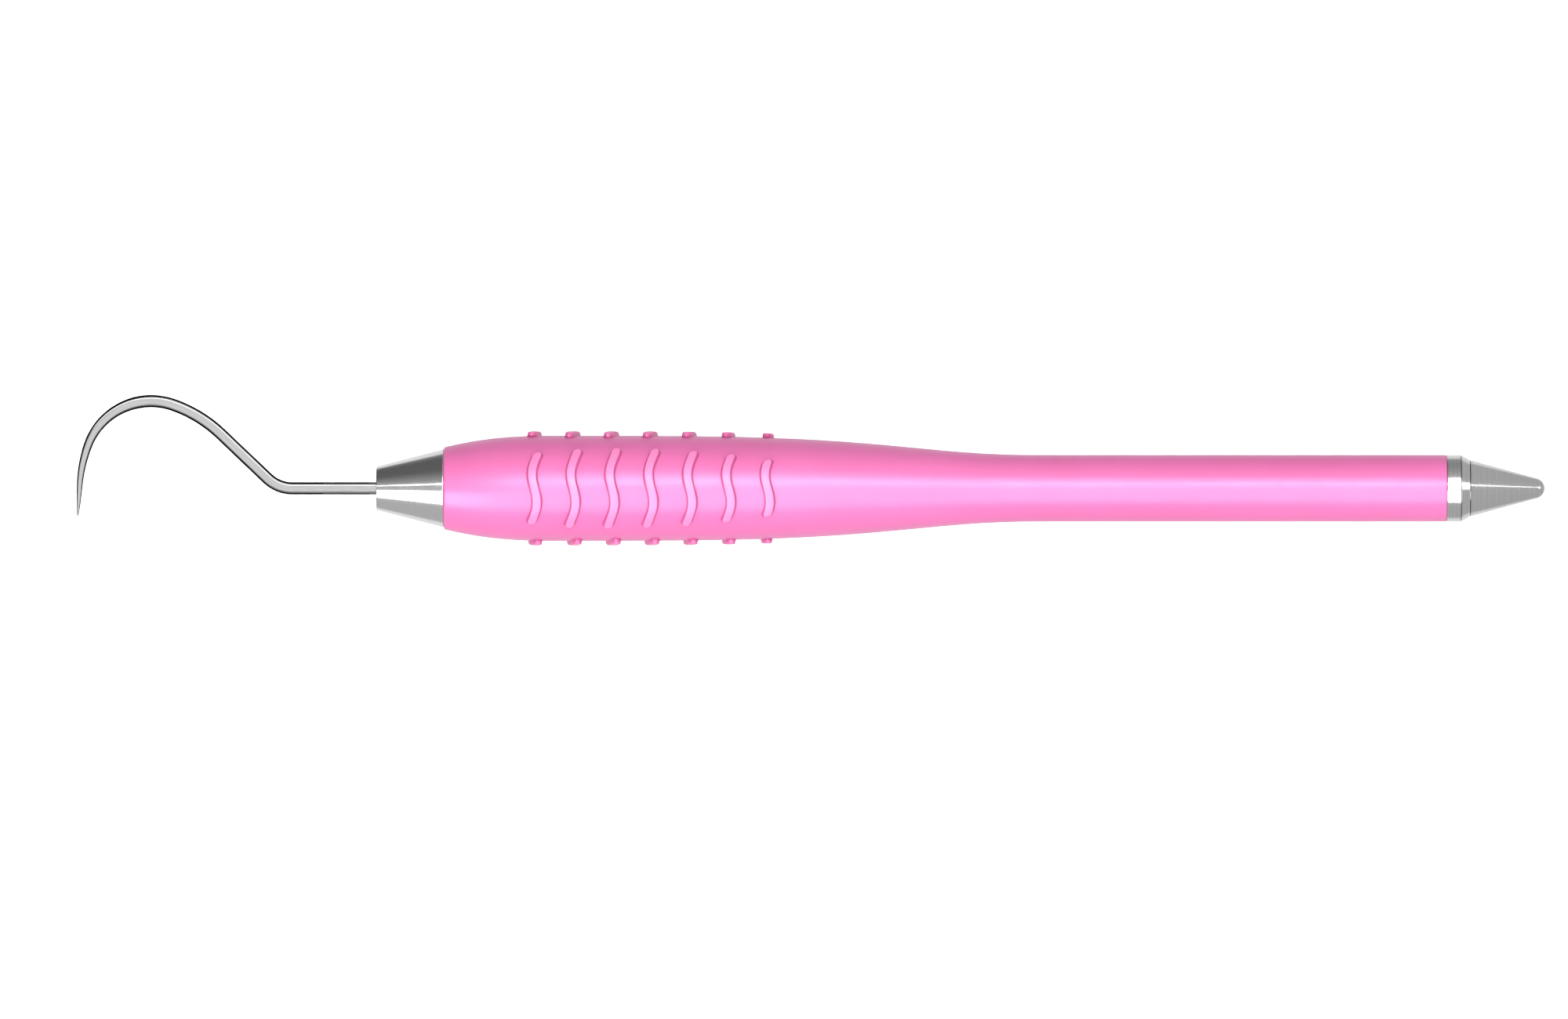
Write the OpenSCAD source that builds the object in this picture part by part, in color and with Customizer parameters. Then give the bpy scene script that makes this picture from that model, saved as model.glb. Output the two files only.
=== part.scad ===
// Single-ended dental explorer: a hooked probe in a turned nose cone, a silicone
// grip sleeve on a thin tube, and a turned tail cone. Both cones screw out.
// Millimetres. The handle's axis is X, the probe points to -X and the hook lies
// in the XY plane. The origin is on the axis, halfway along the straight shaft.

/* [Nose cone] */
// Length of the cone, from its front face to its shoulder
nose_len = 7.75; // [6:0.05:12]
// Diameter of the flat front face
nose_front_d = 5.0; // [3.5:0.1:6.5]
// Diameter at the shoulder
nose_rear_d = 9.0; // [7.5:0.1:11]
// Bevel on the outer edges of the turned pieces
turned_bevel = 0.12; // [0.05:0.01:0.25]

/* [Probe wire] */
// Diameter of the wire
wire_d = 1.45; // [0.9:0.05:1.8]
// Distance from the end of the pressed-in tang to the end of the nose cone's stud
tang_short = 3.35; // [1.5:0.05:6]
// Straight shank in front of the nose cone
shank_len = 9.65; // [6:0.05:14]
// Bend radius where the wire leaves the axis
rise_bend_r = 4.1; // [3:0.1:8]
// Angle of the rise to the axis
rise_angle = 43.6; // [35:0.1:55]
// Straight length of the rise
rise_len = 7.4; // [5:0.1:11]
// Radius of the slow bend that ends the rise
shoulder_r = 15.2; // [10:0.1:20]
// Angle of the wire to the axis where the slow bend ends
shoulder_angle = 19.1; // [5:0.1:30]
// Radius of the hook's round top
crown_r = 7.7; // [5:0.1:10]
// Angle below the axis where the round top ends
crown_angle = 70.3; // [55:0.1:75]
// Radius of the slow bend down to the point
drop_r = 16.4; // [10:0.1:25]
// Angle below the axis of the straight point
point_angle = 86.2; // [78:0.1:92]
// Straight length of the point
point_len = 3.65; // [2:0.05:6]
// Length over which the wire is ground down to the point
taper_len = 16; // [10:0.5:22]
// Diameter of the very tip
tip_d = 0.12; // [0.08:0.01:0.3]

/* [Grip sleeve] */
// Length of the silicone sleeve
sleeve_len = 115.1; // [100:0.1:145]
// Diameter at the sleeve's front edge
grip_front_d = 9.4; // [8:0.1:11]
// Largest diameter of the grip
belly_d = 12.1; // [11:0.1:15]
// Distance from the sleeve's front edge to the full grip diameter
belly_start = 12.4; // [8:0.1:18]
// Distance from the sleeve's front edge to the start of the straight shaft
shaft_start = 70.2; // [60:0.1:85]
// Diameter of the straight rear shaft
shaft_d = 7.65; // [7:0.05:9]
// Rounding of the sleeve's front edge
sleeve_edge_r = 0.3; // [0.1:0.05:0.5]

/* [Grip ribs] */
// Ribs in each row
rib_count = 7; // [3:1:9]
// Rows of ribs around the sleeve
rib_rows = 3; // [2:1:3]
// Distance from the sleeve's front edge to the first rib
first_rib = 10.55; // [8:0.05:14]
// Spacing of the ribs
rib_pitch = 4.45; // [3.5:0.05:6]
// Width of a rib at its foot
rib_w = 0.98; // [0.6:0.02:1.6]
// Height of a rib above the sleeve
rib_h = 0.54; // [0.3:0.02:0.8]
// Half of the angle that the longest rib spans
rib_half_span = 48.8; // [35:0.1:54]
// Distance from the first rib to the longest one
longest_rib = 8; // [4:0.1:16]
// Distance in front of the longest rib at which the ribs would shrink to nothing
patch_front = 16.9; // [12:0.1:40]
// Distance behind the longest rib at which the ribs would shrink to nothing
patch_rear = 26.8; // [22:0.1:60]
// Sideways sway of the wave in each rib
rib_sway = 0.344; // [0:0.01:0.6]
// Angle around the sleeve that one wave takes
rib_wave = 64; // [45:1:90]
// Lean of a rib towards the tail, in mm per degree around the sleeve
rib_lean = 0.0042; // [0:0.0002:0.008]

/* [Core tube and bushes] */
// Outside diameter of the core tube
tube_d = 6.0; // [5:0.1:7.2]
// Wall of the core tube
tube_wall = 0.4; // [0.3:0.05:0.6]
// Length of each threaded bush
bush_len = 6; // [5:0.5:9]
// Diameter over the screw thread
thread_d = 3.0; // [2.5:0.1:3.6]
// Pitch of the screw thread
thread_pitch = 0.5; // [0.4:0.05:0.6]
// Turns of thread on each stud
thread_turns = 8; // [5:1:9]
// Depth of the thread
thread_depth = 0.28; // [0.2:0.02:0.34]
// Radial clearance between a stud and its bush
thread_clearance = 0.04; // [0.02:0.01:0.08]

/* [Seals] */
// Clearance around a sealing ring in its pocket
seal_clearance = 0.05; // [0.03:0.01:0.1]

/* [Tail cone] */
// Length of the tail cone, from its shoulder to its rounded end
tail_len = 11.3; // [8:0.1:16]
// Length of the straight collar
collar_len = 1.7; // [1:0.1:3]
// How much smaller in diameter the collar is than the shaft
collar_step = 0.02; // [0:0.01:0.2]
// Length of the bevel behind the collar
collar_bevel_len = 1.1; // [0.6:0.1:1.6]
// Diameter of the cone where the bevel meets it
cone_root_d = 6.5; // [5.5:0.1:6.8]
// Radius of the rounded end
tail_end_r = 1.2; // [0.8:0.05:1.6]

/* [Hidden] */

round_fn = 96;
wire_sides = 16;      // sides of the bent part of the wire
wire_step = 0.75;     // distance between rings along the wire
rib_step = 8;         // degrees between sections along a rib
rib_end_turns = [30, 60, 82];  // sections that round the end of a rib
rib_sink = 0.4;       // depth to which a rib's foot is buried in the sleeve
outline_step = 1.6;   // distance between points on the sleeve's outline

// Stations are distances behind the nose cone's front face.
sleeve_front = nose_len;
sleeve_rear = sleeve_front + sleeve_len;
shaft_front = sleeve_front + shaft_start;
origin_station = (shaft_front + sleeve_rear) / 2;
rib_first_station = sleeve_front + first_rib;
rib_longest_station = rib_first_station + longest_rib;

tube_bore_r = tube_d / 2 - tube_wall;
stud_r = thread_d / 2;
bush_bore_r = stud_r + thread_clearance;
thread_len = thread_turns * thread_pitch;
// a sealing ring sits in a square pocket between the tube and the stud
seal_pocket = tube_bore_r - stud_r;
seal_cord_r = seal_pocket / 2 - seal_clearance;
seal_ring_r = (tube_bore_r + stud_r) / 2;
stud_len = seal_pocket + thread_len;
stud_root = 0.5;      // how far a stud starts inside its cone
groove_half = 0.3;    // half width of a thread groove, in pitches
tang_len = nose_len + stud_len - tang_short;

grip_r = belly_d / 2;
front_r = grip_front_d / 2;
shaft_r = shaft_d / 2;
front_curve = 2.33;   // how quickly the grip swells behind its front edge
fall_flat = 5.5;      // how long the grip stays full before it falls
fall_soft = 3.6;      // how softly the fall runs out into the shaft
ground_curve = 0.55;  // how quickly the wire thickens behind its point
bent_share = 0.99;    // keeps the many-sided bent wire just inside the round shank
shank_overlap = 0.3;  // how far the bent wire starts inside the straight shank
rib_least = 0.1;      // square of the least share of the full span that a rib keeps

// ---- Shape functions ----

// Radius of the sleeve at a distance behind its front edge, ribs left out.
function swell(s) = grip_r - (grip_r - front_r) * pow(1 - min(s / belly_start, 1), front_curve);
function fall(s) = pow(1 - pow(min(s / shaft_start, 1), fall_flat), fall_soft);
function sleeve_r(s) = s < belly_start ? swell(s) : shaft_r + (grip_r - shaft_r) * fall(s);

// Half span of the rib at a station: two half ellipses that meet at the longest rib.
function rib_span(station) =
    let (away = station - rib_longest_station)
    let (reach = away < 0 ? patch_front : patch_rear)
    rib_half_span * sqrt(max(1 - pow(away / reach, 2), rib_least));

// Shift of a rib towards the tail at an angle from the middle of its row.
function rib_shift(angle) = rib_lean * angle - rib_sway * sin(360 * angle / rib_wave);

// Closed skin over rings of equal point count, with flat ends.
function ring_faces(rings, sides) = concat(
    [[for (i = [0 : sides - 1]) i]],
    [for (k = [0 : rings - 2], i = [0 : sides - 1])
        let (a = k * sides + i, b = k * sides + (i + 1) % sides)
        each [[a, a + sides, b], [b, a + sides, b + sides]]],
    [[for (i = [sides - 1 : -1 : 0]) (rings - 1) * sides + i]]
);

// The wire's route is a chain of [length, turn in degrees]; a turn of 0 is straight.
function arc_len(r, turn) = r * abs(turn) * PI / 180;
wire_route = [
    [rise_bend_r * rise_angle * PI / 180, rise_angle],
    [rise_len, 0],
    [arc_len(shoulder_r, rise_angle - shoulder_angle), shoulder_angle - rise_angle],
    [arc_len(crown_r, shoulder_angle + crown_angle), -shoulder_angle - crown_angle],
    [arc_len(drop_r, point_angle - crown_angle), crown_angle - point_angle],
    [point_len, 0]
];

// Point reached along one piece of the route from p at heading h.
function walk(p, h, length, turn) = turn == 0
    ? p + length * [-cos(h), sin(h)]
    : let (r = length * 180 / (PI * turn))
        p + r * [-sin(h + turn) + sin(h), cos(h) - cos(h + turn)];

// Rings along the route as [point, heading, distance gone].
function route_rings(i, p, h, gone) = i == len(wire_route) ? [] : concat(
    let (length = wire_route[i][0], turn = wire_route[i][1])
    let (steps = ceil(length / wire_step), last = i == len(wire_route) - 1)
    [for (k = [(i == 0 ? 0 : 1) : steps])
        [walk(p, h, length * k / steps, turn * k / steps), h + turn * k / steps,
            gone + length * k / steps]],
    route_rings(
        i + 1,
        walk(p, h, wire_route[i][0], wire_route[i][1]),
        h + wire_route[i][1],
        gone + wire_route[i][0]
    )
);
function route_len(i) = i < 0 ? 0 : wire_route[i][0] + route_len(i - 1);

// Radius of the wire at a distance from its point.
function ground_r(left) = left >= taper_len ? wire_d / 2
    : tip_d / 2 + (wire_d - tip_d) / 2 * pow(left / taper_len, ground_curve);

// ---- Building blocks ----

module at_station(s) { translate([s - origin_station, 0, 0]) children(); }

// Turns an outline of [radius, station] points about the handle's axis.
module turned(outline) {
    at_station(0) rotate([0, 90, 0]) rotate_extrude($fn = round_fn) polygon(outline);
}

// Straight bore or bar along the handle's axis.
module bar(r, from, to) {
    at_station(from) rotate([0, 90, 0]) cylinder(h = to - from, r = r, $fn = round_fn);
}

// Screw stud behind a shoulder, with a plain neck for the sealing ring.
// The thread is drawn as ring grooves; side is 1 for a stud to the tail, -1 to the nose.
module stud(shoulder, side) {
    root = shoulder - side * stud_root;
    half = side * groove_half * thread_pitch;
    outline = concat(
        [[0, root], [stud_r, root], [stud_r, shoulder + side * seal_pocket]],
        [for (t = [0 : thread_turns - 1])
            let (s = shoulder + side * (seal_pocket + (t + 0.5) * thread_pitch))
            each [[stud_r, s - half], [stud_r - thread_depth, s], [stud_r, s + half]]],
        [[stud_r, shoulder + side * stud_len],
            [stud_r - thread_depth, shoulder + side * (stud_len + thread_depth)],
            [0, shoulder + side * (stud_len + thread_depth)]]
    );
    turned(side > 0 ? outline : [for (i = [len(outline) - 1 : -1 : 0]) outline[i]]);
}

module bush(from) {
    to = from + bush_len;
    color("gainsboro") turned([
        [bush_bore_r, from], [tube_bore_r - turned_bevel, from],
        [tube_bore_r, from + turned_bevel], [tube_bore_r, to - turned_bevel],
        [tube_bore_r - turned_bevel, to], [bush_bore_r, to]
    ]);
}

module seal(middle) {
    color("dimgray") at_station(middle) rotate([0, 90, 0])
        rotate_extrude($fn = round_fn)
            translate([seal_ring_r, 0]) circle(r = seal_cord_r, $fn = 32);
}

// One rib, swept around the sleeve along its wave and sunk into it.
module rib(station, row_angle) {
    span = rib_span(station);
    round_end = rib_w / 2 / sleeve_r(station - sleeve_front) * 180 / PI;
    flat = span - round_end;
    steps = ceil(2 * flat / rib_step);
    turns = len(rib_end_turns);
    // [angle, fullness] of each section, from one rounded end to the other
    sections = concat(
        [for (k = [turns - 1 : -1 : 0]) [-flat - round_end * sin(rib_end_turns[k]), cos(rib_end_turns[k])]],
        [for (k = [0 : steps]) [-flat + 2 * flat * k / steps, 1]],
        [for (k = [0 : turns - 1]) [flat + round_end * sin(rib_end_turns[k]), cos(rib_end_turns[k])]]
    );
    // [share of half width, share of height] around one section
    shape = [[-1, -1], [-1, 0.45], [-0.6, 1], [0.6, 1], [1, 0.45], [1, -1]];
    points = [for (sec = sections, q = shape)
        let (s = station + rib_shift(sec[0]) + q[0] * sec[1] * rib_w / 2)
        let (lift = q[1] < 0 ? -rib_sink : q[1] * rib_h * sqrt(sec[1]))
        let (r = sleeve_r(s - sleeve_front) + lift, a = row_angle + sec[0])
        [s, r * sin(a), r * cos(a)]];
    at_station(0) polyhedron(points, ring_faces(len(sections), len(shape)), convexity = 4);
}

// ---- Pieces ----

module explorer_tip() {
    rings = route_rings(0, [0, 0], 0, 0);
    total = route_len(len(wire_route) - 1);
    lead = [[[shank_overlap, 0], 0, -shank_overlap]];
    points = [for (ring = concat(lead, rings), i = [0 : wire_sides - 1])
        let (a = -360 * i / wire_sides, r = bent_share * ground_r(total - ring[2]), h = ring[1])
        [ring[0][0] + r * cos(a) * sin(h), ring[0][1] + r * cos(a) * cos(h), r * sin(a)]];
    color("lightgray") {
        bar(wire_d / 2, -shank_len, tang_len);
        at_station(-shank_len)
            polyhedron(points, ring_faces(len(rings) + 1, wire_sides), convexity = 6);
    }
}

module nose_cone() {
    color("silver") difference() {
        union() {
            turned([
                [0, 0], [nose_front_d / 2 - turned_bevel, 0], [nose_front_d / 2, turned_bevel],
                [nose_rear_d / 2, nose_len - turned_bevel],
                [nose_rear_d / 2 - turned_bevel, nose_len], [0, nose_len]
            ]);
            stud(nose_len, 1);
        }
        bar(wire_d / 2, -1, tang_len);
    }
}

module front_seal() { seal(sleeve_front + seal_pocket / 2); }

module front_bush() { bush(sleeve_front + seal_pocket); }

module grip_sleeve() {
    edge = sleeve_edge_r;
    front_arc = [for (a = [0 : 30 : 90])
        [sleeve_r(edge) - edge + edge * sin(a), edge - edge * cos(a)]];
    steps = ceil((shaft_start - edge) / outline_step);
    outline = concat(
        [[tube_d / 2, 0]],
        front_arc,
        [for (k = [1 : steps]) let (s = edge + (shaft_start - edge) * k / steps) [sleeve_r(s), s]],
        [[shaft_r, sleeve_len], [tube_d / 2, sleeve_len]]
    );
    color("hotpink") {
        at_station(sleeve_front) rotate([0, 90, 0])
            rotate_extrude($fn = round_fn) polygon(outline);
        for (row = [0 : rib_rows - 1], i = [0 : rib_count - 1])
            rib(rib_first_station + i * rib_pitch, row * 360 / rib_rows);
    }
}

module core_tube() {
    color("gainsboro") difference() {
        bar(tube_d / 2, sleeve_front, sleeve_rear);
        bar(tube_bore_r, sleeve_front - 1, sleeve_rear + 1);
    }
}

module rear_bush() { bush(sleeve_rear - seal_pocket - bush_len); }

module rear_seal() { seal(sleeve_rear - seal_pocket / 2); }

module tail_cone() {
    collar_r = shaft_r - collar_step / 2;
    cone_from = sleeve_rear + collar_len + collar_bevel_len;
    ball_at = sleeve_rear + tail_len - tail_end_r;
    // the cone meets the rounded end along its tangent
    lean = atan((cone_root_d / 2 - tail_end_r) / (ball_at - cone_from));
    end_arc = [for (k = [0 : 6])
        let (a = lean + (90 - lean) * k / 6)
        [tail_end_r * cos(a), ball_at + tail_end_r * sin(a)]];
    color("silver") union() {
        turned(concat(
            [[0, sleeve_rear], [collar_r - turned_bevel, sleeve_rear],
                [collar_r, sleeve_rear + turned_bevel],
                [collar_r, sleeve_rear + collar_len], [cone_root_d / 2, cone_from]],
            end_arc
        ));
        stud(sleeve_rear, -1);
    }
}

explorer_tip();
nose_cone();
front_seal();
front_bush();
grip_sleeve();
core_tube();
rear_bush();
rear_seal();
tail_cone();
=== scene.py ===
import math

import bmesh
import bpy
import numpy as np
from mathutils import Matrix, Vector


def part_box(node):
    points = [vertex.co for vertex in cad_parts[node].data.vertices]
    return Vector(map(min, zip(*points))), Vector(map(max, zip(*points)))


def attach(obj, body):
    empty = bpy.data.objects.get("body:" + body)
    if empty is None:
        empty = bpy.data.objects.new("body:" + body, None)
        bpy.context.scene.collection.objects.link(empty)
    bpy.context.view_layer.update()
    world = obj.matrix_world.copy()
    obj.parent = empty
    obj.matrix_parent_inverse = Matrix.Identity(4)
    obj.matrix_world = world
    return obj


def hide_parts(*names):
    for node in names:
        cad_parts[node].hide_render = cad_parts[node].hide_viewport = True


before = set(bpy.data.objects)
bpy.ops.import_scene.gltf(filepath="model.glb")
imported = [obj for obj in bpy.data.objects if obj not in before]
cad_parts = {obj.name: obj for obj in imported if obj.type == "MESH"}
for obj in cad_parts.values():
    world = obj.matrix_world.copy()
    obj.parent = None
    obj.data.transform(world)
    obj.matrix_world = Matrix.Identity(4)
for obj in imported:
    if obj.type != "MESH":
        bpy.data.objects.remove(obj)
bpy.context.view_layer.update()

mm = 0.001
samePoint = 1e-7  # points nearer than this, in metres, become one
print("frame loaded,", len(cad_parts), "parts")


# Skin over a grid of points: each cell is one four-sided face and the last column joins the
# first. With ringed, the last row joins the first row too. Points that fall together become
# one, which closes the poles, and the faces are then turned outwards. The map "wrap" holds
# the way along the rows in metres and the share of a turn around the columns; marks are
# values kept at the points, and an edge turns sharp past an angle in degrees.
def skin(name, grid, way, sharp, ringed=False, marks=None):
    rows, cols = grid.shape[:2]
    index = np.arange(rows * cols).reshape(rows, cols)
    if ringed:
        index = np.vstack([index, index[:1]])
        way = np.append(way, way[-1])
    near, far = index[:-1], index[1:]
    quads = np.stack([near, np.roll(near, -1, 1), np.roll(far, -1, 1), far], -1).reshape(-1, 4)
    mesh = bpy.data.meshes.new(name)
    mesh.from_pydata(grid.reshape(-1, 3), [], quads)
    turn = np.linspace(0, 1, cols + 1)
    u = np.stack([way[:-1], way[:-1], way[1:], way[1:]], -1)[:, None, :] + np.zeros((1, cols, 1))
    v = np.stack([turn[:-1], turn[1:], turn[1:], turn[:-1]], -1)[None] + np.zeros((len(near), 1, 1))
    for mark, values in (marks or {}).items():
        mesh.attributes.new(mark, "FLOAT", "POINT").data.foreach_set("value", values.reshape(-1))
    wrap = mesh.uv_layers.new(name="wrap")
    wrap.data.foreach_set("uv", np.stack([u, v], -1).reshape(-1))
    work = bmesh.new()
    work.from_mesh(mesh)
    bmesh.ops.remove_doubles(work, verts=work.verts, dist=samePoint)
    bmesh.ops.recalc_face_normals(work, faces=work.faces)
    work.to_mesh(mesh)
    work.free()
    mesh.shade_smooth()
    mesh.set_sharp_from_angle(angle=math.radians(sharp))
    piece = bpy.data.objects.new(name, mesh)
    bpy.context.scene.collection.objects.link(piece)
    return piece


# Smooth step from 0 to 1: three squares less two cubes.
def smooth(t):
    t = np.clip(t, 0, 1)
    return t * t * (3 - 2 * t)


# Way gone along an outline, in metres.
def wayAlong(points):
    return np.append(0, np.cumsum(np.linalg.norm(np.diff(points, axis=0), axis=1))) * mm


# For both cones: step between points in mm, how many more crowd into a straight stretch,
# points in a rounding, columns around, and the angle past which an edge is sharp.
turning = {"step": 0.35, "crowding": 3, "arcPoints": 7, "sides": 128, "sharp": 60}


# Outline through corner points [station, radius, rounding]: each corner is cut back by its
# rounding times the tangent of half the turn, and a parabola tangent to both sides fills the
# cut. The straight stretches get points that crowd towards their ends.
def roundedOutline(corners):
    corners = np.array(corners, float)
    points, rounding = corners[:, :2], corners[:, 2]
    side = np.diff(points, axis=0)
    unit = side / np.linalg.norm(side, axis=1, keepdims=True)
    turn = np.arccos(np.clip((unit[:-1] * unit[1:]).sum(1), -1, 1))
    cut = rounding[1:-1] * np.tan(turn / 2)
    t = np.linspace(0, 1, turning["arcPoints"])[:, None]
    out = [points[:1]]

    def lineTo(end):
        start = out[-1][-1]
        cells = max(int(np.ceil(np.linalg.norm(end - start) / turning["step"])), 1)
        share = (1 - np.cos(np.pi * np.linspace(0, 1, cells + turning["crowding"]))) / 2
        out.append(start + (end - start) * share[1:, None])

    for k, corner in enumerate(points[1:-1]):
        a, b = corner - unit[k] * cut[k], corner + unit[k + 1] * cut[k]
        lineTo(a)
        if cut[k] > 0:
            out.append(((1 - t) ** 2 * a + 2 * t * (1 - t) * corner + t * t * b)[1:])
    lineTo(points[-1])
    return np.vstack(out)


# The screw stud that both cones have, in mm from the cone's shoulder. The thread begins its
# lead before the neck's end.
stud = {
    "radius": 1.5, "neck": 1.1, "length": 5.38, "chamfer": 0.28, "rows": 112,
    "pitch": 0.5, "depth": 0.28, "halfWidth": 0.17, "threadLength": 4.1, "runIn": 0.25,
    "lead": 0.1,
}


# Outline of the stud: straight from the neck to the chamfer, then in to the axis.
def studOutline(v):
    stations = np.linspace(v["neck"], v["length"] - v["chamfer"], v["rows"])
    return np.vstack([
        np.stack([stations, np.full(v["rows"], v["radius"])], -1),
        [[v["length"], v["radius"] - v["chamfer"]], [v["length"], 0]],
    ])


# Depth of the thread's groove: a rounded vee around the middle of each turn, where the turns
# are the way along the stud over the pitch plus the share of a circle, faded in at both ends.
# Side is 1 for a stud that points along the axis and -1 for one that points back.
def threadDepth(station, angle, shoulder, side):
    begin = shoulder + side * (stud["neck"] - stud["lead"])
    gone = (station - begin) * side
    turns = (station - begin) / stud["pitch"] + angle / (2 * np.pi)
    off = np.abs(turns - np.floor(turns) - 0.5) * stud["pitch"]
    vee = np.clip(1 - off / stud["halfWidth"], 0, 1)
    left = stud["threadLength"] - gone
    fade = smooth(gone / stud["runIn"]) * smooth(left / stud["runIn"])
    return stud["depth"] * vee * (3 - vee) / 2 * fade


# Turned surface: every outline point goes once around the handle's axis, so x is the start
# plus the station, y is the radius times the sine and z the radius times the cosine of the
# angle. The thread takes its depth off the radius along a right-hand helix.
def turnedGrid(outline, start, shoulder, side):
    angle = np.linspace(0, 2 * np.pi, turning["sides"], endpoint=False)[None]
    station = outline[:, :1] + 0 * angle
    radius = outline[:, 1:] - threadDepth(station, angle, shoulder, side)
    return np.stack([start + station * mm, radius * np.sin(angle) * mm,
                     radius * np.cos(angle) * mm], -1)


# Returns a function that adds a node, sets its properties and fills or links its sockets.
def nodeTool(tree):
    def put(kind, inputs=None, **props):
        node = tree.nodes.new("ShaderNode" + kind)
        for key, value in props.items():
            setattr(node, key, value)
        for key, value in (inputs or {}).items():
            if isinstance(value, bpy.types.NodeSocket):
                tree.links.new(value, node.inputs[key])
            else:
                node.inputs[key].default_value = value
        return node
    return put


noiseSpan = (0.3, 0.7)  # a noise seldom leaves these values
twoNoises = (0.7, 1.3)  # nor does the sum of two leave these


# Colour that goes evenly from low to high between two values of a noise.
def tones(put, noise, low, high, span=noiseSpan):
    node = put("ValToRGB", {"Fac": noise})
    for part, place, tone in zip(node.color_ramp.elements, span, (low, high)):
        part.position = place
        part.color = (*tone, 1)
    return node.outputs["Color"]


# Number that goes evenly from the first to the second of a pair as the value crosses a span.
def spread(put, value, pair, span=noiseSpan):
    node = put("MapRange", {"Value": value, "From Min": span[0], "From Max": span[1],
                            "To Min": pair[0], "To Max": pair[1]})
    return node.outputs["Result"]


# The first colour turned towards the second by a share.
def mixed(put, share, first, second):
    return put("MixRGB", {"Fac": share, "Color1": first, "Color2": second}).outputs["Color"]


# Noise at a place, and the normal that a height makes with a strength and a depth in mm.
def noiseOf(put, place, scale, detail):
    return put("TexNoise", {"Vector": place, "Scale": scale, "Detail": detail}).outputs["Fac"]


def bumpOf(put, height, strength, depth):
    node = put("Bump", {"Height": height, "Strength": strength, "Distance": depth * mm})
    return node.outputs["Normal"]


# New material with its shader's constants set and its pattern sockets linked.
def newMaterial(name, constants, build):
    material = bpy.data.materials.new(name)
    material.use_nodes = True
    put = nodeTool(material.node_tree)
    shader = material.node_tree.nodes["Principled BSDF"]
    for socket, value in constants.items():
        shader.inputs[socket].default_value = value
    for socket, source in build(put).items():
        material.node_tree.links.new(source, shader.inputs[socket])
    return material


# In every finish a noise is its scale and detail, a bump is its strength and its depth in mm,
# and rough is the lowest and the highest roughness.
siliconeLook = {
    "deep": (0.79, 0.168, 0.425), "light": (0.83, 0.184, 0.460),
    # The ribs' paler top colour is a painted highlight and their darker foot colour is painted
    # shade.
    "ribTopPaintedHighlight": (0.97, 0.250, 0.530), "ribFoot": (0.50, 0.055, 0.185),
    "cloud": (70, 3), "patch": (630, 2), "grain": (5200, 3), "bump": (0.03, 0.05),
    "rough": (0.285, 0.34), "gloss": 1.0, "glossTint": (1.0, 0.72, 1.0),
}


# Clouded silicone with a fine grain; a painted highlight makes the ribs' tops paler and painted
# shade darkens where they meet the sleeve.
def siliconeNodes(put):
    look = siliconeLook
    place = put("TexCoord").outputs["Object"]
    toned = tones(put, noiseOf(put, place, *look["cloud"]), look["deep"], look["light"])
    # Painted highlight pales the ribs' tops and painted shade darkens their feet.
    for mark in ("ribTopPaintedHighlight", "ribFoot"):
        share = put("Attribute", attribute_name=mark).outputs["Fac"]
        toned = mixed(put, share, toned, (*look[mark], 1))
    return {
        "Base Color": toned,
        "Roughness": spread(put, noiseOf(put, place, *look["patch"]), look["rough"]),
        "Normal": bumpOf(put, noiseOf(put, place, *look["grain"]), *look["bump"]),
    }


silicone = newMaterial("pinkSilicone", {
    "IOR": 1.5, "Specular IOR Level": siliconeLook["gloss"],
    "Specular Tint": (*siliconeLook["glossTint"], 1),
}, siliconeNodes)

# A finish's groove colour is painted shade that darkens its grooves.
polishedLook = {
    "dark": (0.80, 0.80, 0.805), "bright": (0.85, 0.85, 0.85), "groove": (0.12, 0.12, 0.12),
    "lines": (9000, 3), "haze": (900, 4), "bump": (0.015, 0.01), "rough": (0.10, 0.16),
}
satinLook = {
    "dark": (0.69, 0.69, 0.695), "bright": (0.76, 0.76, 0.76), "groove": (0.12, 0.12, 0.12),
    "lines": (7000, 3), "haze": (1400, 4), "bump": (0.015, 0.01), "rough": (0.12, 0.2),
}
plainLook = {
    "dark": (0.52, 0.52, 0.53), "bright": (0.66, 0.66, 0.66), "groove": (0.12, 0.12, 0.12),
    "lines": (5000, 3), "haze": (600, 4), "bump": (0.12, 0.01), "rough": (0.28, 0.4),
}


# Turned steel: fine rings left by the lathe, from a noise that reads only the place along
# the axis, and a haze that together with them sets the roughness. Painted shade darkens the
# grooves.
def turnedNodes(look):
    def build(put):
        place = put("TexCoord").outputs["Object"]
        along = put("SeparateXYZ", {"Vector": place}).outputs["X"]
        scale, detail = look["lines"]
        lines = put("TexNoise", {"W": along, "Scale": scale, "Detail": detail},
                    noise_dimensions="1D").outputs["Fac"]
        haze = noiseOf(put, place, *look["haze"])
        both = put("Math", {0: lines, 1: haze}, operation="ADD").outputs[0]
        groove = put("Attribute", attribute_name="groove").outputs["Fac"]
        toned = tones(put, lines, look["dark"], look["bright"])
        return {
            "Base Color": mixed(put, groove, toned, (*look["groove"], 1)),
            "Roughness": spread(put, both, look["rough"], twoNoises),
            "Normal": bumpOf(put, lines, *look["bump"]),
        }
    return build


polishedSteel = newMaterial("polishedSteel", {"Metallic": 1}, turnedNodes(polishedLook))
satinSteel = newMaterial("satinSteel", {"Metallic": 1}, turnedNodes(satinLook))
bushSteel = newMaterial("bushSteel", {"Metallic": 1}, turnedNodes(plainLook))

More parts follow.
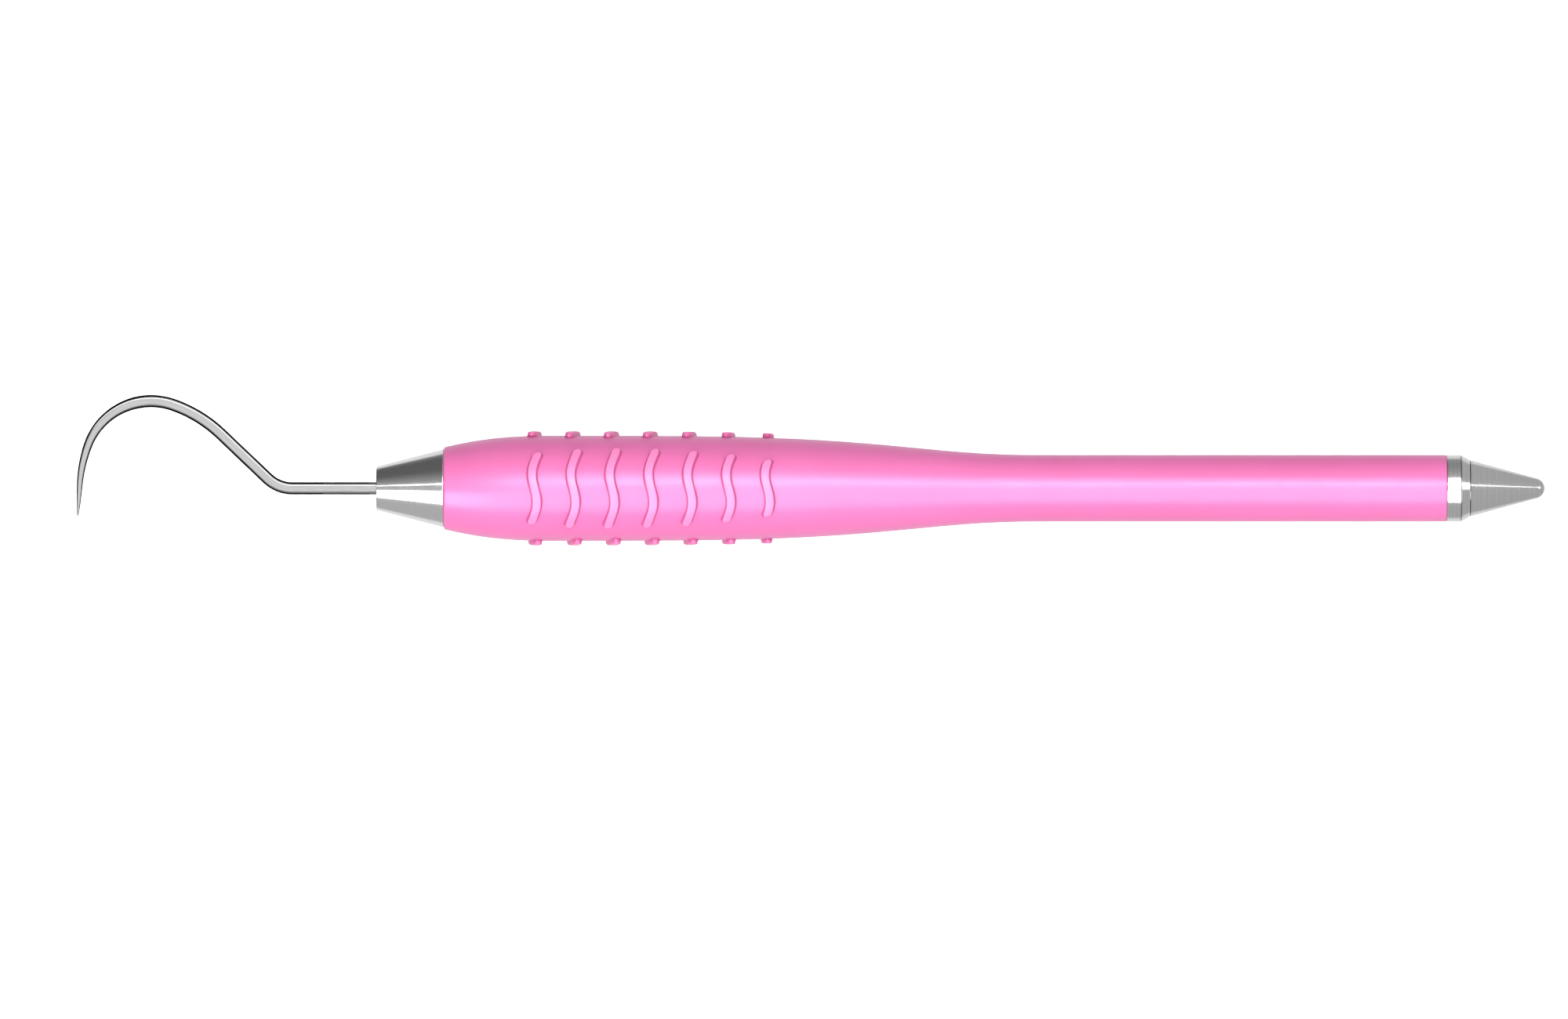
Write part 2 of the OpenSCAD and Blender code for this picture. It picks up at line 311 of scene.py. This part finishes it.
drawnLook = {
    "dark": (0.55, 0.55, 0.56), "bright": (0.66, 0.66, 0.665),
    "placeScale": (0.02, 1, 1), "streak": (6000, 3), "bump": (0.1, 0.01), "rough": (0.28, 0.38),
}
wireLook = {
    "dark": (0.34, 0.34, 0.345), "bright": (0.43, 0.43, 0.43), "rimTint": (0.03, 0.03, 0.03),
    "placeScale": (120, 14, 1), "streak": (3, 5), "bump": (0.06, 0.01), "rough": (0.11, 0.16),
}


# Streaked steel: a noise sets the colour, roughness and bump, and its place is scaled less
# along the streaks than across them.
def streaks(put, place, look):
    flat = put("Mapping", {"Vector": place, "Scale": look["placeScale"]}).outputs["Vector"]
    streak = noiseOf(put, flat, *look["streak"])
    return {
        "Base Color": tones(put, streak, look["dark"], look["bright"]),
        "Roughness": spread(put, streak, look["rough"]),
        "Normal": bumpOf(put, streak, *look["bump"]),
    }


# The drawn tube's streaks run along the axis.
def drawnNodes(put):
    return streaks(put, put("TexCoord").outputs["Object"], drawnLook)


# The ground wire's streaks follow the wire, so they read its wrap map.
def wireNodes(put):
    return streaks(put, put("UVMap", uv_map="wrap").outputs["UV"], wireLook)


drawnSteel = newMaterial("drawnSteel", {"Metallic": 1}, drawnNodes)
wireSteel = newMaterial("wireSteel", {
    "Metallic": 1, "Specular Tint": (*wireLook["rimTint"], 1),
}, wireNodes)

rubberLook = {
    "deep": (0.014, 0.014, 0.015), "worn": (0.035, 0.035, 0.036), "wornSpan": (0.35, 0.7),
    "grain": (7000, 4), "bump": (0.2, 0.02), "rough": (0.45, 0.65),
}


# Black rubber, a little paler where its grain stands up.
def rubberNodes(put):
    look = rubberLook
    grain = noiseOf(put, put("TexCoord").outputs["Object"], *look["grain"])
    return {
        "Base Color": tones(put, grain, look["deep"], look["worn"], look["wornSpan"]),
        "Roughness": spread(put, grain, look["rough"]),
        "Normal": bumpOf(put, grain, *look["bump"]),
    }


sealRubber = newMaterial("sealRubber", {"IOR": 1.5}, rubberNodes)
print("finishes made")


wire = {
    "diameter": 1.425, "tipDiameter": 0.12, "groundLength": 16, "groundPower": 0.55,
    "tang": 9.5, "shank": 9.65,
    # each stretch: length and turn in degrees, where a bend's length is its radius times its turn
    "stretches": [
        (4.1 * math.radians(43.6), 43.6), (7.4, 0), (15.2 * math.radians(24.5), -24.5),
        (7.7 * math.radians(89.4), -89.4), (16.4 * math.radians(15.9), -15.9), (3.65, 0),
    ],
    "sides": 48, "step": 0.22, "groundRings": 110, "groundCrowd": 1.7, "sharp": 60,
    "curvePoints": 20001,
}


# Tube along a bent wire: the heading changes evenly along each stretch, the middle line is
# the running sum of the heading's direction, and each ring stands square to it. The radius
# falls with a power of the distance left to the point, which ends in a small half ball.
def probeWire(v):
    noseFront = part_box("nose_cone")[0][0]
    knots = np.cumsum([0, v["shank"]] + [length for length, turn in v["stretches"]])
    headings = np.radians(np.cumsum([0, 0] + [turn for length, turn in v["stretches"]]))
    total = knots[-1]
    fine = np.linspace(0, total, v["curvePoints"])
    middle = np.interp((fine[1:] + fine[:-1]) / 2, knots, headings)
    curveX = np.append(0, np.cumsum(-np.cos(middle) * fine[1]))
    curveY = np.append(0, np.cumsum(np.sin(middle) * fine[1]))
    ground = v["groundLength"]
    straight = np.arange(-v["tang"], total - ground, v["step"])
    share = np.linspace(1, 0, v["groundRings"]) ** v["groundCrowd"]
    gone = np.append(straight, total - ground * share)
    tipR, fullR = v["tipDiameter"] / 2, v["diameter"] / 2
    left = np.clip((total - gone) / ground, 0, 1)
    radius = tipR + (fullR - tipR) * left ** v["groundPower"]
    # the flat end inside the nose cone, and the half ball at the point
    ball = np.radians([30, 60, 90])
    gone = np.concatenate([[gone[0]], gone, np.full(len(ball), total)])
    radius = np.concatenate([[0], radius, tipR * np.cos(ball)])
    push = np.concatenate([np.zeros(len(gone) - len(ball)), tipR * (np.sin(ball) - 1)])
    inside = np.clip(gone, 0, total)
    heading = np.interp(inside, knots, headings)
    midX = np.interp(inside, fine, curveX) - np.minimum(gone, 0) - push * np.cos(heading)
    midY = np.interp(inside, fine, curveY) + push * np.sin(heading)
    angle = np.linspace(0, 2 * np.pi, v["sides"], endpoint=False)[None]
    out = radius[:, None] * np.cos(angle)
    up = radius[:, None] * np.sin(angle)
    x = midX[:, None] + out * np.sin(heading)[:, None]
    y = midY[:, None] + out * np.cos(heading)[:, None]
    grid = np.stack([x, y, up], -1) * mm + np.array([noseFront, 0, 0])
    return skin("probeWire", grid, gone * mm, v["sharp"])


probe = probeWire(wire)
probe.data.materials.append(wireSteel)
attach(probe, "probe")
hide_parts("explorer_tip")
print("probe wire made")


noseCone = {
    "frontRadius": 2.5, "rearRadius": 4.5, "length": 7.75, "edge": 0.12, "rootRounding": 0.1,
    "holeRadius": 0.74, "holeDepth": 0.25, "holeBevel": 0.08, "bevelRounding": 0.04,
    "holeRounding": 0.05,
}


# Outline from the wire's hole over the front edge, the cone and the shoulder to the stud.
def noseOutline(v):
    hole, bevel, soft = v["holeRadius"], v["holeBevel"], v["bevelRounding"]
    cone = roundedOutline([
        (v["holeDepth"], 0, 0), (v["holeDepth"], hole, v["holeRounding"]),
        (bevel, hole, soft), (0, hole + bevel, soft), (0, v["frontRadius"], v["edge"]),
        (v["length"], v["rearRadius"], v["edge"]), (v["length"], stud["radius"], v["rootRounding"]),
        (v["length"] + stud["neck"], stud["radius"], 0),
    ])
    return np.vstack([cone, studOutline(stud)[1:] + np.array([v["length"], 0])])


noseFull = noseOutline(noseCone)
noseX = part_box("nose_cone")[0][0]
nose = skin("noseCone", turnedGrid(noseFull, noseX, noseCone["length"], 1),
            wayAlong(noseFull), turning["sharp"])
nose.data.materials.append(polishedSteel)
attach(nose, "probe")
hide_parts("nose_cone")
print("nose cone made")


tailCone = {
    "collarRadius": 3.815, "collarLength": 1.65, "bevelLength": 1.05, "rootRadius": 3.25,
    "length": 11.3, "endRadius": 1.2, "endRows": 24, "edge": 0.12,
    "lineDepth": 0.08, "lineWidth": 0.12, "lineRounding": 0.01,
    # how far the bevel and the cone fall over half a line's width
    "bevelFall": 0.02, "coneFall": 0.01,
}


# Outline behind the shoulder: collar, bevel, cone and rounded end, with a hairline groove
# where the collar meets the bevel and where the bevel meets the cone.
def tailOutline(v):
    ballAt = v["length"] - v["endRadius"]
    coneFrom = v["collarLength"] + v["bevelLength"]
    lean = math.atan((v["rootRadius"] - v["endRadius"]) / (ballAt - coneFrom))
    turn = np.linspace(lean, math.pi / 2, v["endRows"])
    end = np.stack([ballAt + v["endRadius"] * np.sin(turn), v["endRadius"] * np.cos(turn)], -1)
    end[-1, 1] = 0
    half, depth, soft = v["lineWidth"] / 2, v["lineDepth"], v["lineRounding"]
    body = roundedOutline([
        (0, stud["radius"], 0), (0, v["collarRadius"], v["edge"]),
        (v["collarLength"] - half, v["collarRadius"], soft),
        (v["collarLength"], v["collarRadius"] - depth, soft),
        (v["collarLength"] + half, v["collarRadius"] - v["bevelFall"], soft),
        (coneFrom - half, v["rootRadius"] + v["bevelFall"], soft),
        (coneFrom, v["rootRadius"] - depth, soft),
        (coneFrom + half, v["rootRadius"] - v["coneFall"], soft), tuple(end[0]) + (0,),
    ])
    return np.vstack([studOutline(stud)[::-1] * np.array([-1, 1]), body, end[1:]])


# Share of painted groove shade at each point: one less the distance to the nearest line in half
# widths.
def grooveShare(stations, v):
    lineAt = np.array([0, v["bevelLength"]]) + v["collarLength"]
    away = np.abs(stations - lineAt).min(1) / v["lineWidth"] * 2
    return np.repeat(np.clip(1 - away, 0, 1), turning["sides"])


tailFull = tailOutline(tailCone)
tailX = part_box("tail_cone")[1][0] - tailCone["length"] * mm
# The groove marks put painted shade in the tail's hairline grooves.
tail = skin("tailCone", turnedGrid(tailFull, tailX, 0, -1), wayAlong(tailFull),
            turning["sharp"], marks={"groove": grooveShare(tailFull[:, :1], tailCone)})
tail.data.materials.append(satinSteel)
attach(tail, "tail")
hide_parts("tail_cone")
print("tail cone made")


# Lengths in mm, angles in degrees. The ribs' crown, foot, wall, painted highlight on the top and
# painted shade outline are shares of half a rib's width; the patch values say how far the ribs'
# ends draw in.
sleeve = {
    "length": 115.1, "bore": 3.0, "frontRadius": 4.7, "gripRadius": 6.05, "shaftRadius": 3.825,
    "swellLength": 12.4, "swellPower": 2.33, "shaftStart": 70.2, "fallFlat": 5.5, "fallSoft": 3.6,
    "frontEdge": 0.3, "rearEdge": 0.12, "sharp": 75,
    "ribRows": 3, "ribCount": 7, "firstRib": 10.45, "ribPitch": 4.45, "ribWidth": 1.12,
    "ribHeight": 0.53, "ribFoot": 1.04, "ribWall": 0.22, "ribCrown": 0.09, "halfSpan": 46.6,
    # The foot values place the painted shade line around each rib, weaker along its sides than at
    # its ends; the top values place the painted highlight on each rib's top.
    "longestRib": 8, "footShadeAt": 1.06, "footShadeWidth": 0.3, "footShadeSides": 0.7,
    "highlightEdge": 0.92, "highlightFade": 0.25,
    "patchFront": 16.9, "patchRear": 26.8, "patchLeast": 0.1,
    "sway": 0.344, "wave": 64, "lean": 0.0042, "swayTo": 49.5, "bendFrom": 2.4, "bendFade": 1.6,
}

# Rows along the sleeve and columns around it, close together at the ribs' walls. Offsets are
# in mm from a rib's middle line, and between is a share of the way to the next rib.
sleeveRows = {
    "offsets": [0.12, 0.24, 0.36, 0.43, 0.47, 0.50, 0.53, 0.56, 0.59, 0.65, 0.78],
    "between": [0.3, 0.5, 0.7], "margin": 1.1, "lead": 24, "rest": 40, "arc": 8,
    "frontFace": 6, "rearFace": 5, "bore": 7,
    "middleTo": 28, "middle": 15, "endsTo": 50, "ends": 38, "gap": 6,
}


# Radius of the sleeve without its ribs: it swells by a power of the way left to the belly,
# then falls to the shaft as a power of one less a power of the way gone.
def sleeveRadius(s, v):
    grip, front, shaft = v["gripRadius"], v["frontRadius"], v["shaftRadius"]
    swell = grip - (grip - front) * (1 - np.clip(s / v["swellLength"], 0, 1)) ** v["swellPower"]
    fall = (1 - np.clip(s / v["shaftStart"], 0, 1) ** v["fallFlat"]) ** v["fallSoft"]
    return np.where(s < v["swellLength"], swell, shaft + (grip - shaft) * fall)


# Rows of the closed ring [station, radius]: front face, front edge, outside, rear edge, rear
# face and bore. The edges are quarter circles. Also says which rows are the outside.
def sleeveOutline(v, n, centres):
    edge, rear, long = v["frontEdge"], v["rearEdge"], v["length"]
    offsets = np.concatenate([-np.array(n["offsets"])[::-1], [0], n["offsets"]])
    outer = np.sort(np.concatenate([
        np.linspace(edge, centres[0] - n["margin"], n["lead"]),
        (centres[:, None] + offsets).reshape(-1),
        (centres[:-1, None] + v["ribPitch"] * np.array(n["between"])).reshape(-1),
        np.linspace(centres[-1] + n["margin"], long - rear, n["rest"]),
    ]))
    turn = np.linspace(0, np.pi / 2, n["arc"])
    frontR, rearR = sleeveRadius(edge, v) - edge, v["shaftRadius"] - rear
    frontFace = np.linspace([0, v["bore"]], [0, frontR], n["frontFace"])[:-1]
    frontArc = np.stack([edge - edge * np.cos(turn), frontR + edge * np.sin(turn)], -1)[:-1]
    outside = np.stack([outer, sleeveRadius(outer, v)], -1)
    rearArc = np.stack([long - rear + rear * np.sin(turn), rearR + rear * np.cos(turn)], -1)[1:]
    rearFace = np.linspace([long, rearR], [long, v["bore"]], n["rearFace"])[1:]
    bore = np.linspace([long, v["bore"]], [0, v["bore"]], n["bore"])[1:-1]
    rows = np.vstack([frontFace, frontArc, outside, rearArc, rearFace, bore])
    first = len(frontFace) + len(frontArc)
    number = np.arange(len(rows))[:, None]
    return rows, (number >= first) & (number < first + len(outer))


# Angles around the sleeve: each row of ribs has its own sector, with the closest columns
# where the ribs end. Also gives each angle from the middle of its row, and half a sector.
def sleeveAngles(v, n):
    sector = 360 / v["ribRows"]
    quarter = np.concatenate([
        np.linspace(0, n["middleTo"], n["middle"]),
        np.linspace(n["middleTo"], n["endsTo"], n["ends"])[1:],
        np.linspace(n["endsTo"], sector / 2, n["gap"])[1:],
    ])
    half = np.concatenate([-quarter[:0:-1], quarter[:-1]])
    angle = (half[None] + sector * np.arange(v["ribRows"])[:, None]).reshape(1, -1)
    return angle, (angle + sector / 2) % sector - sector / 2, sector / 2


# Sleeve surface over the way along it and the angle around it. In the ribbed stretch the
# rows bend along the ribs' wave, a lean less a sine of the angle from the row's middle. The
# ribs' ends follow half an ellipse around the longest rib. A rib's top is a shallow parabola
# of the distance from its middle line in half widths, and a smooth step ends it at the foot.
def gripSleeve(v, n):
    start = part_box("grip_sleeve")[0][0]
    centres = v["firstRib"] + v["ribPitch"] * np.arange(v["ribCount"])
    rows, outside = sleeveOutline(v, n, centres)
    angle, phi, sectorEnd = sleeveAngles(v, n)
    swing = v["lean"] * phi - v["sway"] * np.sin(np.radians(360 * phi / v["wave"]))
    swing = swing * (1 - smooth((np.abs(phi) - v["swayTo"]) / (sectorEnd - v["swayTo"])))
    s = rows[:, :1]
    reach = smooth((s - centres[0] + v["bendFrom"]) / v["bendFade"])
    reach = reach * smooth((centres[-1] + v["bendFrom"] - s) / v["bendFade"])
    station = s + np.where(outside, swing * reach, 0)
    radius = np.where(outside, sleeveRadius(station, v), rows[:, 1:] + 0 * angle)

    nearest = np.clip(np.round((s - centres[0]) / v["ribPitch"]), 0, v["ribCount"] - 1)
    centre = centres[0] + nearest * v["ribPitch"]
    away = centre - centres[0] - v["longestRib"]
    patch = np.where(away < 0, v["patchFront"], v["patchRear"])
    span = v["halfSpan"] * np.sqrt(np.maximum(1 - (away / patch) ** 2, v["patchLeast"]))
    endAngle = np.degrees(v["ribWidth"] / 2 / sleeveRadius(centre, v))
    across = (s - centre) / (v["ribWidth"] / 2)
    beyond = np.maximum(np.abs(phi) - (span - endAngle), 0) / endAngle
    off = np.hypot(across, beyond)
    lift = v["ribHeight"] * (1 - v["ribCrown"] * np.clip(off, 0, 1) ** 2)
    lift = lift * smooth((v["ribFoot"] - off) / v["ribWall"])
    radius = radius + np.where(outside, lift, 0)

    theta = np.radians(angle)
    grid = np.stack([start + station * mm, radius * np.sin(theta) * mm,
                     radius * np.cos(theta) * mm], -1)
    # Painted shade: a darker line around each rib's foot, fuller at the rib's ends. Painted
    # highlight: each rib's top made paler.
    paintedFootShade = smooth(1 - np.abs(off - v["footShadeAt"]) / v["footShadeWidth"]) * outside
    paintedFootShade = paintedFootShade * (v["footShadeSides"] + (1 - v["footShadeSides"]) * smooth(beyond))
    paintedHighlight = smooth((v["highlightEdge"] - off) / v["highlightFade"]) * outside
    return skin("gripSleeve", grid, wayAlong(rows), v["sharp"], ringed=True,
                marks={"ribFoot": paintedFootShade, "ribTopPaintedHighlight": paintedHighlight})


grip = gripSleeve(sleeve, sleeveRows)
grip.data.materials.append(silicone)
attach(grip, "handle")
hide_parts("grip_sleeve")
print("grip sleeve made,", len(grip.data.polygons), "faces")


# The tube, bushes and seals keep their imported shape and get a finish.
keptFinish = {
    "core_tube": drawnSteel, "front_bush": bushSteel, "rear_bush": bushSteel,
    "front_seal": sealRubber, "rear_seal": sealRubber,
}
for nodeName, finish in keptFinish.items():
    kept = bpy.data.objects[nodeName]
    kept.data.materials.clear()
    kept.data.materials.append(finish)
print("inner parts finished")


# Size in metres, clearance and the stretch of sleeve left out at the rear in mm.
floorLook = {
    "size": 6.0, "clearance": 0.15, "rearStretch": 20, "pale": (0.93, 0.93, 0.935),
    "shade": 0.985, "cloud": (3, 2), "rough": 0.8, "bounce": 0.45, "glow": 0.55,
}


# Pale paint that the camera sees bright and the object sees greyer.
def floorNodes(put):
    look = floorLook
    cloud = noiseOf(put, put("TexCoord").outputs["Object"], *look["cloud"])
    pale = tones(put, cloud, tuple(c * look["shade"] for c in look["pale"]), look["pale"])
    seen = put("LightPath").outputs["Is Camera Ray"]
    return {
        "Base Color": mixed(put, seen, (look["bounce"],) * 3 + (1,), pale),
        "Emission Strength": put("Math", {0: seen, 1: look["glow"]},
                                 operation="MULTIPLY").outputs[0],
    }


# The floor touches the grip and the rear end of the sleeve: among the lines through the
# rear end, it is the steepest that a point of the grip's underside needs.
def makeFloor(v):
    points = np.empty(len(grip.data.vertices) * 3)
    grip.data.vertices.foreach_get("co", points)
    points = points.reshape(-1, 3)
    rearX, rearZ = points[:, 0].max(), -sleeve["shaftRadius"] * mm
    ahead = points[points[:, 0] < rearX - v["rearStretch"] * mm]
    slope = ((rearZ - ahead[:, 2]) / (rearX - ahead[:, 0])).max()
    reach = np.array([-0.5, 0.5]) * v["size"]
    gx, gy = np.meshgrid(reach, reach)
    gz = rearZ - v["clearance"] * mm + slope * (gx - rearX)
    mesh = bpy.data.meshes.new("floor")
    mesh.from_pydata(np.stack([gx, gy, gz], -1).reshape(-1, 3), [], [(0, 1, 3, 2)])
    mesh.materials.append(newMaterial("floorPaint", {
        "Roughness": v["rough"], "Emission Color": (1, 1, 1, 1),
    }, floorNodes))
    floor = bpy.data.objects.new("floor", mesh)
    bpy.context.scene.collection.objects.link(floor)
    floor.visible_glossy = False
    return floor


makeFloor(floorLook)
print("floor made")

# Corners along and across the handle, in mm, and how far it lies below the wire's middle.
card = {
    "corners": [(-101.2, -1.8), (-101.2, 1.8), (-106.5, 1.8), (-106.5, 4), (-110, 5), (-119, 13),
                (-127, 16), (-135, 13), (-141, 2), (-140, -11), (-130, -11), (-126, -4),
                (-106.5, -4), (-106.5, -1.8)],
    "below": 0.05,
}


# A black card around the wire darkens its edges; only reflections see it.
def makeCard(v):
    corners = np.array(v["corners"])
    count = len(corners)
    mesh = bpy.data.meshes.new("blackCard")
    mesh.from_pydata(np.column_stack([corners, np.full(count, -v["below"])]) * mm, [],
                     [tuple(range(count))])
    mesh.materials.append(newMaterial("cardBlack", {
        "Base Color": (0, 0, 0, 1), "Specular IOR Level": 0,
    }, lambda put: {}))
    item = bpy.data.objects.new("blackCard", mesh)
    bpy.context.scene.collection.objects.link(item)
    item.visible_camera = item.visible_diffuse = item.visible_shadow = False
    item.visible_transmission = item.visible_volume_scatter = False
    return item


makeCard(card)
print("card made")


# Each light stands at a distance from the axis, at x in metres and a lean in degrees from
# straight up, and has its size in metres and a brightness. The two lights of the wire reach
# only the wire, and the others pass it by.
lights = {
    "overheadStrip": {"x": -0.03, "lean": 13.5, "size": (1.9, 0.022), "bright": 5.0},
    "topStrip": {"x": 0.0, "lean": 15, "size": (0.5, 0.08), "bright": 7.0},
    "wideBox": {"x": -0.54, "lean": -30.5, "size": (0.54, 0.57), "bright": 4.4},
    "topBox": {"x": 0.0, "lean": -7, "size": (0.42, 1.45), "bright": 2.4},
    "bevelBox": {"x": 1.4, "lean": 13, "size": (1.0, 0.5), "bright": 1.6},
}
wireLights = {
    "wireDome": {"x": -0.12, "lean": 0, "size": (3.4, 3.4), "bright": 0.84},
    "wireEdge": {"x": -0.12, "lean": 62, "size": (2.4, 0.3), "bright": 1.5},
}
lightReach = {"distance": 0.8, "wattsPerArea": 4}


# A rectangular light that faces the axis. Its power is its area times its brightness times
# the watts per square metre, so a larger light of the same brightness looks no brighter.
def areaLight(name, values, reached):
    lean, distance = math.radians(values["lean"]), lightReach["distance"]
    place = Vector((values["x"], distance * math.sin(lean), distance * math.cos(lean)))
    lamp = bpy.data.lights.new(name, "AREA")
    lamp.shape = "RECTANGLE"
    lamp.size, lamp.size_y = values["size"]
    lamp.energy = values["bright"] * lightReach["wattsPerArea"] * lamp.size * lamp.size_y
    item = bpy.data.objects.new(name, lamp)
    item.location = place
    item.rotation_euler = (Vector((place.x, 0, 0)) - place).to_track_quat("-Z", "Y").to_euler()
    item.visible_camera = False
    item.light_linking.receiver_collection = reached
    bpy.context.scene.collection.objects.link(item)


# Group for light linking that takes the wire in or leaves it out.
def wireGroup(name, state):
    group = bpy.data.collections.new(name)
    group.objects.link(probe)
    group.collection_objects[0].light_linking.link_state = state
    return group


allButWire, wireOnly = wireGroup("allButWire", "EXCLUDE"), wireGroup("wireOnly", "INCLUDE")
for lightName, lightValues in lights.items():
    areaLight(lightName, lightValues, allButWire)
for lightName, lightValues in wireLights.items():
    areaLight(lightName, lightValues, wireOnly)

surround = {
    "grey": 0.48, "dark": 0.12, "darkSide": (-0.75, 0.66, 0), "darkSpan": (0.45, 0.85),
    "under": 0.85, "underSpan": (-0.68, -0.5), "seen": 1.0, "soft": 0.75,
}


# The surroundings are grey, darker towards one side and pale underneath. The camera sees
# them white, and matt surfaces get a share of their light.
def makeWorld(v):
    world = bpy.data.worlds.new("studio")
    world.use_nodes = True
    tree = world.node_tree
    put = nodeTool(tree)
    toward = put("TexCoord").outputs["Generated"]
    side = Vector(v["darkSide"]).normalized()
    facing = put("VectorMath", {0: toward, 1: side}, operation="DOT_PRODUCT").outputs["Value"]
    level = spread(put, facing, (v["grey"], v["dark"]), v["darkSpan"])
    height = put("SeparateXYZ", {"Vector": toward}).outputs["Z"]
    under = spread(put, height, (1, 0), v["underSpan"])
    both = mixed(put, under, level, (v["under"],) * 3 + (1,))
    ray = put("LightPath").outputs
    shown = mixed(put, ray["Is Camera Ray"], both, (v["seen"],) * 3 + (1,))
    strength = spread(put, ray["Is Diffuse Ray"], (1, v["soft"]), (0, 1))
    back = tree.nodes["Background"]
    tree.links.new(shown, back.inputs["Color"])
    tree.links.new(strength, back.inputs["Strength"])
    bpy.context.scene.world = world


makeWorld(surround)

view = {"x": -53.6, "y": -2.43, "distance": 3000, "lens": 600, "sensor": 36}
camera = bpy.data.cameras.new("camera")
camera.lens, camera.sensor_width = view["lens"], view["sensor"]
cameraItem = bpy.data.objects.new("camera", camera)
cameraItem.location = (view["x"] * mm, view["y"] * mm, view["distance"] * mm)
bpy.context.scene.collection.objects.link(cameraItem)
bpy.context.scene.camera = cameraItem
bpy.context.scene.view_settings.view_transform = "Standard"
print("lights and camera set")
